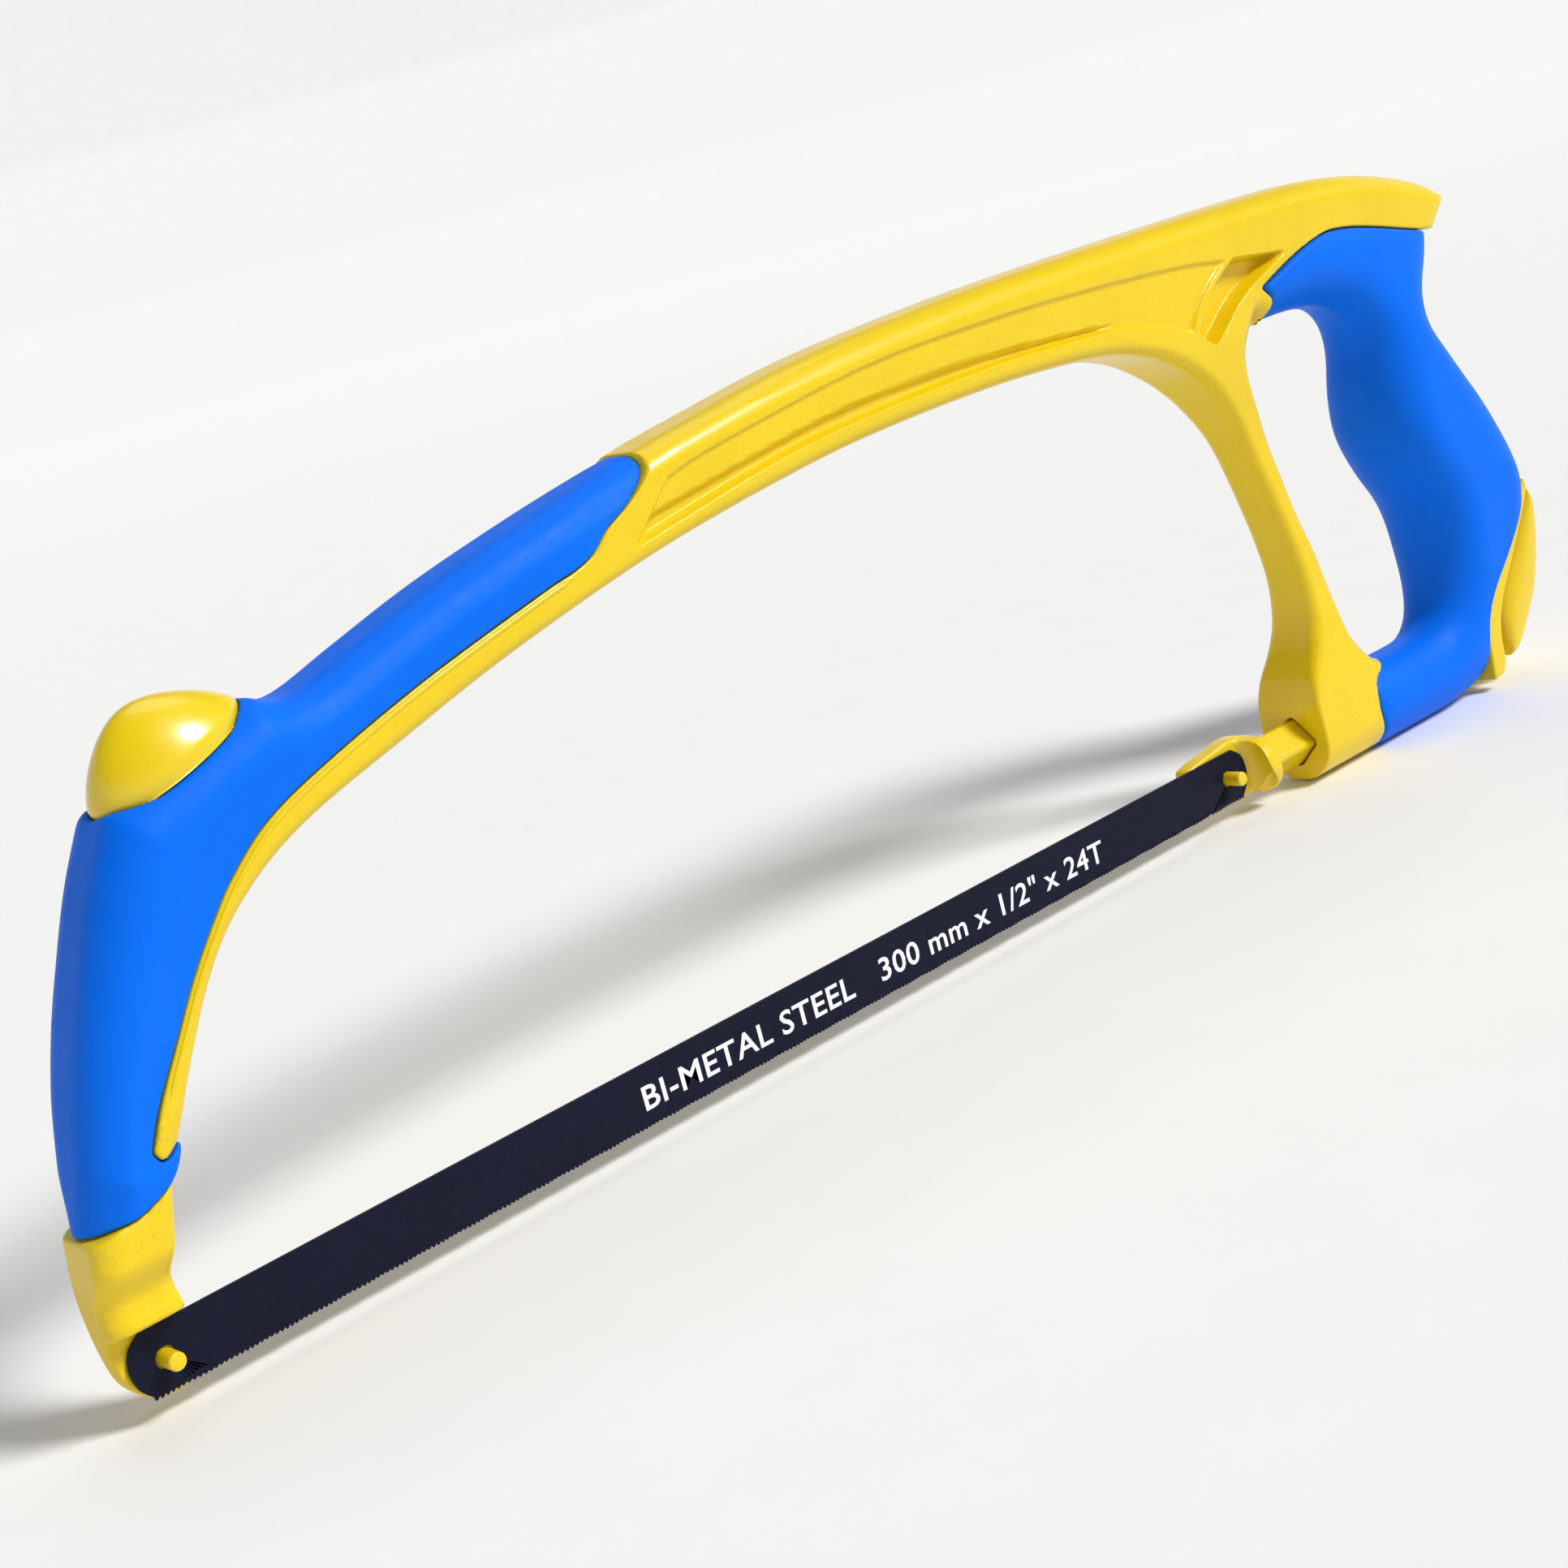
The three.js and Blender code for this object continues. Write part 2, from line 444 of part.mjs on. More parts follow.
// ---- the saw ------------------------------------------------------------------------------------------
const parts = [
  piece('frame_casting', frameCasting(), YELLOW_PAINT),
  piece('front_grip', frontGrip(), BLUE_RUBBER),
  piece('rear_grip', rearGrip(), BLUE_RUBBER),
  piece('thumb_cap', capEgg(0), YELLOW_PAINT),
  piece('front_blade_pin', crossBar(0, 0, PIN.radius, -PIN.outside, PIN.inside), YELLOW_PAINT),
  piece('cam_saddle', saddle(), PLATED_STEEL),
  piece('saw_blade', blade(), BLADE_STEEL),
  piece('blade_holder', bladeHolder(), YELLOW_PAINT),
  piece('rear_blade_pin', crossBar(HOLE_PITCH + BLADE_PLAY, 0, PIN.radius, -PIN.outside,
    PIN.inside - CLEARANCE), YELLOW_PAINT),
  piece('draw_rod', axialBar(ROD.radius, ROD.front, PIVOT.x + ROD.past, 16), PLATED_STEEL),
  piece('barrel_nut', barrelNut(), PLATED_STEEL),
  piece('tension_lever', tensionLever(), YELLOW_PAINT),
];

const saw = new THREE.Group();
saw.add(...parts);
saw.updateMatrixWorld(true);
const bounds = new THREE.Box3().setFromObject(saw);
saw.position.set(-(bounds.min.x + bounds.max.x) / 2, 0, -bounds.min.z);

export default saw;
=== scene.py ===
"""A hacksaw: cast bow, moulded grips, pinned blade, and the lever that tensions it.

Sizes are in millimetres in the saw's own side view until place() sets them in the row frame:
x runs along the blade from the front pin, z rises from the teeth to the bow, y is the thickness.
The castings and mouldings blend into one another with fillets and are trimmed along curved
lines, which no single grid of two parameters can follow, so each is the zero surface of a
distance field (section 2); every other piece is a grid of points from a formula (section 3).
"""
import itertools
import math

import bpy
import numpy as np
from mathutils import Matrix, Vector


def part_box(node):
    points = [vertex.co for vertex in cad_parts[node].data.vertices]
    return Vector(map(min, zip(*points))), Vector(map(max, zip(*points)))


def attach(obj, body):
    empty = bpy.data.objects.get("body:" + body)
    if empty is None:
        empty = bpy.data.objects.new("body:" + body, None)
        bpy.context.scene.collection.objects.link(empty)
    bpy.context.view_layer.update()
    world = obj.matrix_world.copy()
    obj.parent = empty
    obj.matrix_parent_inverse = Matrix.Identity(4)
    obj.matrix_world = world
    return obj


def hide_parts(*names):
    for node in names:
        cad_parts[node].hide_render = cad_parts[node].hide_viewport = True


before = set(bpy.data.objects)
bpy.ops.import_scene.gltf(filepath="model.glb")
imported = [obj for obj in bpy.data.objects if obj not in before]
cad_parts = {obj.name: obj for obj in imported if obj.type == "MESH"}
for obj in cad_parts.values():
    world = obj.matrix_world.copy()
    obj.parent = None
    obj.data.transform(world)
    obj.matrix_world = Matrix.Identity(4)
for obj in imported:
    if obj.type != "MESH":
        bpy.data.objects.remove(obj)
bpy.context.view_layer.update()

MM = 0.001
PIN_LOW, PIN_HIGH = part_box("front_blade_pin")
PIN_X = (PIN_LOW[0] + PIN_HIGH[0]) / 2
PIN_Z = (PIN_LOW[2] + PIN_HIGH[2]) / 2

# ---- 1. sizes and side-view outlines ---------------------------------------------------------
HOLE_PITCH = 300.0
BLADE_HALF_HEIGHT = 6.35
BLADE_HALF_THICKNESS = 0.32
TOOTH_PITCH = 25.4 / 24
PIN_RADIUS = 1.75
BOW_HALF = 10.2
TOOTH_DEPTH = 0.66
HOLE_RADIUS = 2.15
CAP_MIDDLE = (33.9, 99.0)
CAP_TILT = math.radians(19.5)
CAP_LENGTH, CAP_WIDTH, CAP_HEIGHT = 16.6, 10.2, 10.4
CAP_RIM_DEPTH = 2.4
SEAM = 0.28

OUTER_EDGE = [[-8.6, 27], [-5.9, 38.4], [-3.1, 48.5], [1.1, 60], [4.9, 68.8], [11.2, 82],
              [18.0, 93.4]]
CAP_RIM = [[18.0, 93.4], [49.6, 104.4]]
GRIP_TOP = [[49.6, 104.4], [55.5, 101.9], [62, 102.3], [75, 106.3], [95, 112.1], [120, 117.7],
            [153, 124.2]]
BEAM_TOP = [[153, 124.2], [190.9, 129.6], [225, 132], [260, 133.1], [310, 133.4],
            [351, 133.2], [371, 132.5], [391.3, 129.8], [411.4, 124.5], [423.6, 118.4]]
TAIL_END = [[423.6, 118.4], [412.5, 107.8]]
TAIL_UNDERSIDE = [[412.5, 111.3], [404.4, 112.6], [385, 117.3], [374, 119.3], [366, 119.5],
                  [353.3, 116.8], [338.5, 111.8]]
NECK = [[338.5, 111.8], [341.8, 108.2], [340.2, 104.6]]
POST_BACK = [[336.8, 105.2], [333, 100.4], [331.1, 94.6], [331.5, 89.5], [333.6, 82.3],
             [336.8, 69.9], [340.4, 56.3], [344.2, 44.5], [346.2, 34.5], [348.6, 25.2],
             [351.8, 18], [356, 13]]
THROAT = [[12.1, 36.3], [17, 47], [26.7, 61.9], [36.6, 71.5], [51.3, 79.5], [75.9, 87],
          [105.4, 95], [144.7, 103.2], [184, 108.4], [213.5, 110.5], [250, 110.9], [280, 109],
          [297, 104.9], [308.4, 98.6], [316.6, 91.2], [321.8, 84]]
POST_FRONT = [[321.8, 84], [324.6, 78.6], [328.2, 68.7], [331.4, 58.6], [333.9, 49.6],
              [335.8, 39.9], [335.9, 32.2], [335, 27], [332.6, 21.3], [329.2, 15.8],
              [327.5, 10]]
TIP_FRONT = [[-7.2, 34], [-8.9, 25], [-9.9, 14], [-8.8, 1.5], [-6.3, -4.2], [-1.5, -6.8],
             [4.5, -6.2], [6.2, -2]]
TIP_BACK = [[6.2, -2], [5.4, 9], [5.4, 17], [8.4, 28.5]]
FRONT_SHUT_OFF = [[-14, 26], [-8.8, 26.2], [-4, 27], [1.2, 27.9], [6.4, 30], [9.2, 31.9],
                  [14.5, 36.6]]
STRIP_END = [[14.5, 36.6], [11.4, 36.9], [7.6, 35.2], [5.9, 37.4]]
STRIP_EDGE = [[5.9, 37.4], [9.5, 44.4], [15.6, 53.3], [21.9, 62.2], [28.5, 70],
              [35.1, 76.6], [44.8, 83.4], [59.5, 89.2], [83.9, 96.6], [113.1, 103.7],
              [121.5, 105.4], [127, 107.4], [131.5, 110.9], [138, 114.1], [143.6, 117.8],
              [145.7, 121.2], [145, 124.6], [143, 130]]
BOSS_SHUT_OFF = [[362, 17], [357.5, 11.8], [352.6, 8.6], [351.2, 4.6], [350.9, -0.5],
                 [352.2, -5], [354.5, -14]]
BEZEL_EDGE = [[400.3, -16], [400.6, -2.2], [401, 5.2], [402.5, 10.4], [405.5, 15.2],
              [410.4, 20.5], [417, 27.3], [425, 35.6], [434, 46]]
BEZEL_BACK = [[433.5, 41], [429, 34.6], [418.2, 20.8], [412.2, 13.8], [408.4, 7.5],
              [407, 2], [406.9, -3.5], [405, -7.2]]
GRIP_BACK = [[412.6, 110.2], [409.8, 103.4], [407.2, 99], [405, 94.4], [405, 89.6], [408, 84],
             [412.8, 76], [418.2, 67.8], [422.6, 60.2], [427, 51.8], [429.6, 45], [430.2, 39],
             [428.5, 30]]
D_OPENING = [[343, 103.4], [357, 103.2], [369.5, 101], [377.6, 95.2], [380.3, 88],
             [378.8, 77.5], [378.5, 67.5], [380.4, 60], [385, 51], [389.6, 43.8],
             [391.6, 37.5], [392.1, 29.5], [391.6, 21.5], [389.3, 15], [384, 11.3],
             [376, 10.4], [357, 10.6]]
PANEL_TOP = [[148.6, 116.8], [162.7, 119.7], [201.8, 124.6], [230, 125.9], [270, 125.5],
             [309.4, 123.5], [328.4, 121.2]]
PANEL_END = [[328.4, 121.2], [320.2, 116.3], [314.2, 111.4], [310.6, 106.8]]
CHANNEL_BOTTOM = [[310.6, 106.8], [299.6, 111.1], [280, 114.1], [250.7, 115.3], [220, 114.9],
                  [182.3, 112.6], [135.8, 105.2]]
RIDGE = [[290, 115.6], [251.8, 118.4], [225, 118.9], [192.9, 117.6], [143.9, 111.2]]
POCKET = [[[330.4, 121], [351.5, 118.6]], [[351.5, 118.6], [341, 115], [330.4, 110.6],
          [318.4, 102.2]], [[318.4, 102.2], [312.4, 106.4]], [[312.4, 106.4], [322, 116.2],
          [330.4, 121]]]
HOLDER_HEAD = [[[287.6, 3.4], [288.4, 6.2], [298, 7.8], [306, 8.6], [311.5, 7.2]],
               [[311.5, 7.2], [311.5, -6.4]],
               [[311.5, -6.4], [305, -6.8], [294, -5.0], [287.6, 3.4]]]
LEVER_OUTSIDE = [[412.2, -4.5], [417, -2.9], [423, 1.9], [429.2, 9.3], [432.8, 19],
                 [434.1, 27.7], [433.4, 35.9]]
LEVER_INSIDE = [[410.4, -3.8], [410.2, 1], [410.9, 7.5], [414.2, 14], [420, 21.4],
                [426.2, 30.4], [431.4, 36.6]]


# ---- 2. fields -------------------------------------------------------------------------------
def smooth(t):
    """0 below t = 0, 1 above t = 1, and 3t^2 - 2t^3 between."""
    t = np.clip(t, 0.0, 1.0)
    return t * t * (3 - 2 * t)


def curve(points, steps=8):
    """The Catmull-Rom curve through the points, each span given by
    p1 + ((p2-p0)t + (2p0-5p1+4p2-p3)t^2 + (3p1-3p2+p3-p0)t^3) / 2."""
    p = np.asarray(points, float)
    p = np.vstack([p[:1], p, p[-1:]])
    t = (np.arange(steps) / steps)[None, :, None]
    a, b, c, d = (p[i:len(p) - 3 + i, None, :] for i in range(4))
    spans = b + ((c - a) * t + (2 * a - 5 * b + 4 * c - d) * t ** 2
                 + (3 * b - 3 * c + d - a) * t ** 3) / 2
    return np.vstack([spans.reshape(-1, p.shape[1]), p[-1:]])


def outline(*runs):
    """Runs of points end to end: two points are a straight edge, more are a curve."""
    points = np.vstack([np.asarray(run, float) if len(run) == 2 else curve(run) for run in runs])
    step = np.linalg.norm(points - np.roll(points, -1, axis=0), axis=1)
    return points[step > 0.02]


def back(run):
    return run[::-1]


class Region:
    """A closed side-view outline as a grid of signed distances: negative inside, positive out,
    and exact as far as `reach` on both sides of the line."""

    def __init__(self, *runs, reach=14.0, cell=0.4, soften=1):
        points = outline(*runs)
        self.cell = cell
        self.low = points.min(axis=0) - reach
        count = np.ceil((points.max(axis=0) + reach - self.low) / cell).astype(int) + 1
        x = self.low[0] + cell * np.arange(count[0])
        z = self.low[1] + cell * np.arange(count[1])
        squared = np.full(count, float(reach) ** 2)
        inside = np.zeros(count, bool)
        for (ax, az), (bx, bz) in zip(points, np.roll(points, -1, axis=0)):
            near = [slice(*np.searchsorted(line, (min(p, q) - reach, max(p, q) + reach)))
                    for line, p, q in ((x, ax, bx), (z, az, bz))]
            gx, gz = x[near[0], None], z[None, near[1]]
            dx, dz = bx - ax, bz - az
            along = np.clip(((gx - ax) * dx + (gz - az) * dz) / (dx * dx + dz * dz), 0, 1)
            reached = (gx - ax - along * dx) ** 2 + (gz - az - along * dz) ** 2
            window = squared[near[0], near[1]]
            np.minimum(window, reached, out=window)
            rows = slice(*np.searchsorted(z, (min(az, bz), max(az, bz))))
            if rows.stop > rows.start:
                crossing = ax + (z[rows] - az) * dx / dz
                inside[:, rows] ^= x[:, None] < crossing[None, :]
        grid = np.sqrt(squared) * np.where(inside, -1, 1)
        for _ in range(soften):
            grid[1:-1] = (grid[:-2] + 2 * grid[1:-1] + grid[2:]) / 4
            grid[:, 1:-1] = (grid[:, :-2] + 2 * grid[:, 1:-1] + grid[:, 2:]) / 4
        self.grid = grid

    def __call__(self, x, z):
        u, v = (x - self.low[0]) / self.cell, (z - self.low[1]) / self.cell
        cu = np.clip(u, 0, self.grid.shape[0] - 1.001)
        cv = np.clip(v, 0, self.grid.shape[1] - 1.001)
        i, k = cu.astype(int), cv.astype(int)
        fu, fv = cu - i, cv - k
        g = self.grid
        value = ((g[i, k] * (1 - fu) + g[i + 1, k] * fu) * (1 - fv)
                 + (g[i, k + 1] * (1 - fu) + g[i + 1, k + 1] * fu) * fv)
        return value + self.cell * np.hypot(u - cu, v - cv)


def join(a, b, fillet):
    """Both solids, with a fillet of about that size where they meet."""
    h = np.clip(0.5 + 0.5 * (b - a) / fillet, 0, 1)
    return b + (a - b) * h - fillet * h * (1 - h)


def common(a, b, edge):
    """What both solids share, its new edges eased by about that size."""
    return -join(-a, -b, edge)


def slab(side, y, half, edge, edge_y=None):
    """The region `side` given the thickness |y| < half. Its edges are quarter ellipses, `edge`
    deep in the side view and `edge_y` across: (1 + side/edge)^2 + (1 + (|y|-half)/edge_y)^2 = 1."""
    edge_y = edge if edge_y is None else edge_y
    thin = np.minimum(edge, edge_y)
    u = np.maximum(side + edge, 0) / edge
    v = np.maximum(np.abs(y) - half + edge_y, 0) / edge_y
    flat = np.maximum(side + edge, np.abs(y) - half + edge_y) - thin
    return np.where((u > 0) | (v > 0), (np.sqrt(u * u + v * v) - 1) * thin, flat)


def slope(field, p, step=0.3):
    """The field's gradient at the points, by central differences."""
    return np.stack([(field(*(p + d).T) - field(*(p - d).T)) / (2 * step)
                     for d in step * np.eye(3)], axis=1)


def skin(field, low, high, cell):
    """The surface where field = 0, as (points, faces, normals). One point goes in each cell of
    a grid that the surface crosses, at the mean of its crossings on the cell's edges, and is
    then slid along the gradient onto the surface; four neighbours make a face."""
    axes = [np.arange(a, b + cell, cell) for a, b in zip(low, high)]
    shape = tuple(len(a) for a in axes)
    values = np.ascontiguousarray(np.broadcast_to(field(*np.ix_(*axes)), shape))
    inside = values < 0
    corners = list(itertools.product((0, 1), repeat=3))
    count = sum(inside[tuple(slice(o, n - 1 + o) for o, n in zip(corner, shape))].astype(np.int8)
                for corner in corners)
    crossed = (count > 0) & (count < 8)
    cells = np.argwhere(crossed)
    number = np.full(crossed.shape, -1)
    number[crossed] = np.arange(len(cells))
    total, hits = np.zeros((len(cells), 3)), np.zeros(len(cells))
    for axis, corner in itertools.product(range(3), corners):
        if corner[axis]:
            continue
        step = np.eye(3, dtype=int)[axis]
        start = values[tuple((cells + corner).T)]
        end = values[tuple((cells + corner + step).T)]
        cut = (start < 0) != (end < 0)
        share = np.where(cut, start / np.where(cut, start - end, 1), 0)
        total += cut[:, None] * (np.array(corner) + share[:, None] * step)
        hits += cut
    points = np.array(low) + cell * (cells + total / hits[:, None])
    for _ in range(4):
        pull = slope(field, points, 0.15)
        move = -field(*points.T)[:, None] * pull / np.maximum((pull ** 2).sum(1), 0.05)[:, None]
        size = np.linalg.norm(move, axis=1, keepdims=True)
        points += move * np.minimum(1, 0.35 * cell / np.maximum(size, 1e-9))
    faces = []
    for axis in range(3):
        step = np.eye(3, dtype=int)
        a, b = step[(axis + 1) % 3], step[(axis + 2) % 3]
        span = [slice(0, n - 1) for n in shape]
        far = list(span)
        far[axis] = slice(1, shape[axis])
        p = np.argwhere(inside[tuple(span)] != inside[tuple(far)])
        p = p[(p @ a > 0) & (p @ b > 0)]
        ring = [number[tuple((p - shift).T)] for shift in (a + b, b, 0 * a, a)]
        outward = inside[tuple(p.T)]
        faces.append(np.where(outward[:, None], np.stack(ring, 1), np.stack(ring[::-1], 1)))
    normals = slope(field, points)
    normals /= np.maximum(np.linalg.norm(normals, axis=1, keepdims=True), 1e-9)
    return points, np.vstack(faces), normals


# ---- 3. grids of points ----------------------------------------------------------------------
def loft(rings, ends=True):
    """A skin over rings of points, shape (rings, points round, 3). Each end closes on its
    middle point, or, with ends=False, the last ring joins the first."""
    rows, around = rings.shape[:2]
    points = rings.reshape(-1, 3)
    i = np.arange(rows - 1 if ends else rows)[:, None]
    j = np.arange(around)[None, :]
    up, on = (i + 1) % rows, (j + 1) % around
    faces = np.stack([i * around + j, i * around + on, up * around + on, up * around + j],
                     axis=2).reshape(-1, 4)
    if not ends:
        return points, [tuple(f) for f in faces]
    points = np.vstack([points, rings[0].mean(axis=0), rings[-1].mean(axis=0)])
    j = np.arange(around)
    k = (j + 1) % around
    low = np.stack([np.full(around, len(points) - 2), k, j], axis=1)
    top = (rows - 1) * around
    high = np.stack([np.full(around, len(points) - 1), top + j, top + k], axis=1)
    return points, [tuple(f) for f in itertools.chain(faces, low, high)]


def volume(points, faces):
    """Six times the volume: the sum of p0 . (p1 x p2) over each face's fan of triangles."""
    total = 0.0
    for size in (3, 4):
        some = np.array([f for f in faces if len(f) == size])
        for k in range(1, size - 1) if len(some) else ():
            a, b, c = points[some[:, 0]], points[some[:, k]], points[some[:, k + 1]]
            total += np.einsum("ij,ij->", a, np.cross(b, c))
    return total


def place(points):
    """Saw millimetres to row-frame metres."""
    return np.asarray(points) * MM + np.array([PIN_X, 0, PIN_Z])


def mesh(name, points, faces, normals=None, round_over=True):
    """One object from points in saw millimetres, its faces turned outward."""
    faces = [tuple(int(i) for i in f) for f in faces]
    if normals is None and volume(points, faces) < 0:
        faces = [f[::-1] for f in faces]
    data = bpy.data.meshes.new(name)
    data.from_pydata(place(points).tolist(), [], faces)
    data.polygons.foreach_set("use_smooth", np.full(len(faces), round_over))
    if normals is not None:
        data.normals_split_custom_set_from_vertices(normals.tolist())
    data.update()
    piece = bpy.data.objects.new(name, data)
    bpy.context.scene.collection.objects.link(piece)
    return piece


def together(*parts):
    """Several (points, faces) as one."""
    points, faces = [], []
    for some, those in parts:
        shift = sum(len(p) for p in points)
        turned = [tuple(i + shift for i in f) for f in those]
        if volume(some, those) < 0:
            turned = [f[::-1] for f in turned]
        points.append(some)
        faces.extend(turned)
    return np.vstack(points), faces


def turned_bar(x, z, stations, around=48):
    """A bar along Y: at each (y, radius) station a circle x + r cos a, z + r sin a."""
    a = np.linspace(0, 2 * np.pi, around, endpoint=False)
    return loft(np.array([np.stack([x + r * np.cos(a), np.full(around, y), z + r * np.sin(a)], 1)
                          for y, r in stations]))


def eased_ends(near, far, radius, ease=0.45, steps=5):
    """Stations for a bar from near to far with quarter-round edges."""
    a = np.linspace(0, np.pi / 2, steps)
    start = [(near + ease * (1 - np.cos(t)), radius - ease * (1 - np.sin(t))) for t in a]
    return start + [(near + far - y, r) for y, r in start[::-1]]


# ---- 4. the casting and the mouldings --------------------------------------------------------
THROAT_SIDE = Region(THROAT, POST_FRONT[1:], [[327.5, 10], [327.5, -60]],
                     [[327.5, -60], [12, -60]], [[12, -60], [12.1, 36.3]])
FRONT_RUBBER = Region(FRONT_SHUT_OFF, STRIP_END, STRIP_EDGE, [[143, 130], [143, 150]],
                      [[143, 150], [-24, 150]], [[-24, 150], [-24, 26]])
REAR_RUBBER = Region(back(NECK), back(TAIL_UNDERSIDE), [[412.5, 111.3], [450, 104]],
                     [[450, 104], [444, 56]], [[444, 56], [434, 46]], back(BEZEL_EDGE),
                     [[400.3, -16], [354.5, -14]], back(BOSS_SHUT_OFF), [[362, 17], [362, 60]],
                     [[362, 60], [345, 98]], [[345, 98], [340.2, 104.6]])
BODY = Region(OUTER_EDGE, CAP_RIM, GRIP_TOP, BEAM_TOP, TAIL_END, [TAIL_END[1], [346, 100]],
              [[346, 100], [336.8, 105.2]], POST_BACK, [POST_BACK[-1], [362, 11]],
              [[362, 11], [362, -10.3]], [[362, -10.3], [327.5, -10.3]],
              [[327.5, -10.3], [327.5, 10]], back(POST_FRONT), back(THROAT),
              [THROAT[0], [9.2, 30]], [[9.2, 30], OUTER_EDGE[0]])
ARM = Region([[-10.2, 19], OUTER_EDGE[1]], OUTER_EDGE[1:], CAP_RIM, GRIP_TOP,
             [GRIP_TOP[-1], [170, 127]], [[170, 127], [172, 107]], [[172, 107], [155, 104.6]],
             [[155, 104.6]] + back(THROAT[:8]), [THROAT[0], [6.5, 19]],
             [[6.5, 19], [-10.2, 19]], soften=12)
HANDLE = Region([[330, 123], [352, 124.5], [374, 124], [394, 121], [414.5, 116]],
                [[414.5, 116], GRIP_BACK[1]], GRIP_BACK[1:], [GRIP_BACK[-1], [411, -3.5]],
                [[411, -3.5], [398, -8.6]], [[398, -8.6], [386, -10.3]],
                [[386, -10.3], [345, -10.3]], [[345, -10.3], [345, 11]],
                [[345, 11], D_OPENING[-1]], back(D_OPENING), [D_OPENING[0], [330, 104.5]],
                [[330, 104.5], [330, 123]], reach=22, soften=40)
TIP = Region(TIP_FRONT, TIP_BACK, [TIP_BACK[-1], [9.8, 34]], [[9.8, 34], TIP_FRONT[0]])
BEZEL = Region([[405, -7.2], [400.4, -8]], [[400.4, -8]] + BEZEL_EDGE[1:-1],
               [[425, 35.6], [430.4, 40]], [[430.4, 40]] + BEZEL_BACK[1:], soften=0)
PANEL = Region(PANEL_TOP, PANEL_END, CHANNEL_BOTTOM, [[135.8, 105.2], [148.6, 116.8]])
CHANNEL = Region(RIDGE, [[143.9, 111.2], [135.8, 105.2]], back(CHANNEL_BOTTOM[2:]),
                 [[280, 114.1], [290, 115.6]])
HOLLOW = Region(*POCKET)
LEVER_ROOM = Region([[405.5, -20], [405.5, 7.5]],
                    [[405.5, 7.5], [410.4, 15.2], [417.2, 22.6], [427, 34.6], [431, 41]],
                    [[431, 41], [450, 41]], [[450, 41], [450, -20]], [[450, -20], [405.5, -20]],
                    soften=0)
HEAD = Region(*HOLDER_HEAD, cell=0.2, soften=0)


def cap_seat(x, y, z, gap):
    """The room left for the thumb cap: an ellipsoid cut off at its tilted rim plane, wider
    than the cap by `gap`."""
    right, rise = x - CAP_MIDDLE[0], z - CAP_MIDDLE[1]
    u = right * math.cos(CAP_TILT) + rise * math.sin(CAP_TILT)
    w = -right * math.sin(CAP_TILT) + rise * math.cos(CAP_TILT)
    reach = np.sqrt((u / (CAP_LENGTH + gap)) ** 2 + (y / (CAP_WIDTH + gap)) ** 2
                    + (w / (CAP_HEIGHT + gap)) ** 2)
    return common((reach - 1) * CAP_WIDTH, -CAP_RIM_DEPTH - gap - w, 0.3)


def square_bar(y, z, half, corner):
    """A square standing on its corner, seen end on, with its edges rounded."""
    a, b = np.abs(y + z) / math.sqrt(2) - half, np.abs(y - z) / math.sqrt(2) - half
    return (np.hypot(np.maximum(a + corner, 0), np.maximum(b + corner, 0)) - corner
            + np.minimum(np.maximum(a, b) + corner, 0))


def casting(x, y, z):
    throat = THROAT_SIDE(x, z)
    half = BOW_HALF - 2.0 * smooth((44 - z) / 16) * smooth((60 - x) / 20)
    rear = smooth((x - 300) / 12)
    half = half + rear * smooth((106 - z) / 34) * (np.interp(np.clip(z, 0, 60), *FLARE.T)
                                                   - BOW_HALF)
    half = half - 1.0 * smooth(-PANEL(x, z) / 1.1) - 1.7 * smooth(-CHANNEL(x, z) / 1.4)
    half = half - 4.6 * smooth(-HOLLOW(x, z) / 1.2)
    edge = 3.2 + 3.0 * smooth((throat - 8) / 8)
    edge = edge - 2.3 * rear * smooth((30 - z) / 24) + 2.0 * smooth((50 - z) / 20) * (x < 40)
    body = slab(BODY(x, z), y, half, edge, edge * 1.15)
    barrel = np.hypot(y, np.minimum(z, 0)) - FLARE[0, 1]
    barrel = barrel - 4 * smooth((z - 1) / 8) - 20 * (x < 100)
    body = common(body, barrel, 0.4)
    tip_half = 8.2 - (4.0 * smooth((21 - z) / 8) - 0.8 * smooth((12 - z) / 3)) * (y < 0)
    tip = slab(TIP(x, z), y, tip_half, 5.0 - 2.2 * smooth(x / 5), 4.0)
    body = join(body, tip, 1.5)
    body = common(body, -FRONT_RUBBER(x, z), 0.5)
    body = np.minimum(body, slab(BEZEL(x, z), y, 10.3, 0.7))
    body = common(body, -REAR_RUBBER(x, z), 0.5)
    ramp = (z - 6.9) - (0.62 - y) * 0.25
    seat = np.maximum(np.maximum(y - 0.62, ramp), x - 20)
    body = common(body, -seat, 0.4)
    socket = np.maximum(square_bar(y, z, 4.85, 1.3), np.abs(x - 336) - 16)
    body = common(body, -socket, 0.35)
    room = np.maximum(LEVER_ROOM(x, z), np.abs(y) - 7.2)
    return common(body, -room, 0.4)


FLARE = curve([[0, 10.3], [13, 9.5], [28, 7.7], [42, 6.6], [60, 6.3]])


def front_rubber(x, y, z):
    region = FRONT_RUBBER(x, z)
    narrow = smooth((62 - z) / 40) * smooth((60 - x) / 20)
    half = 10.7 + 1.9 * smooth(-region / 11) - 1.9 * narrow
    edge = 3.4 + 7.1 * smooth((THROAT_SIDE(x, z) - 4) / 12)
    body = slab(ARM(x, z), y, half, edge, np.minimum(edge, 9.5))
    body = common(body, region + SEAM, 0.9)
    return common(body, -cap_seat(x, y, z, SEAM), 0.7)


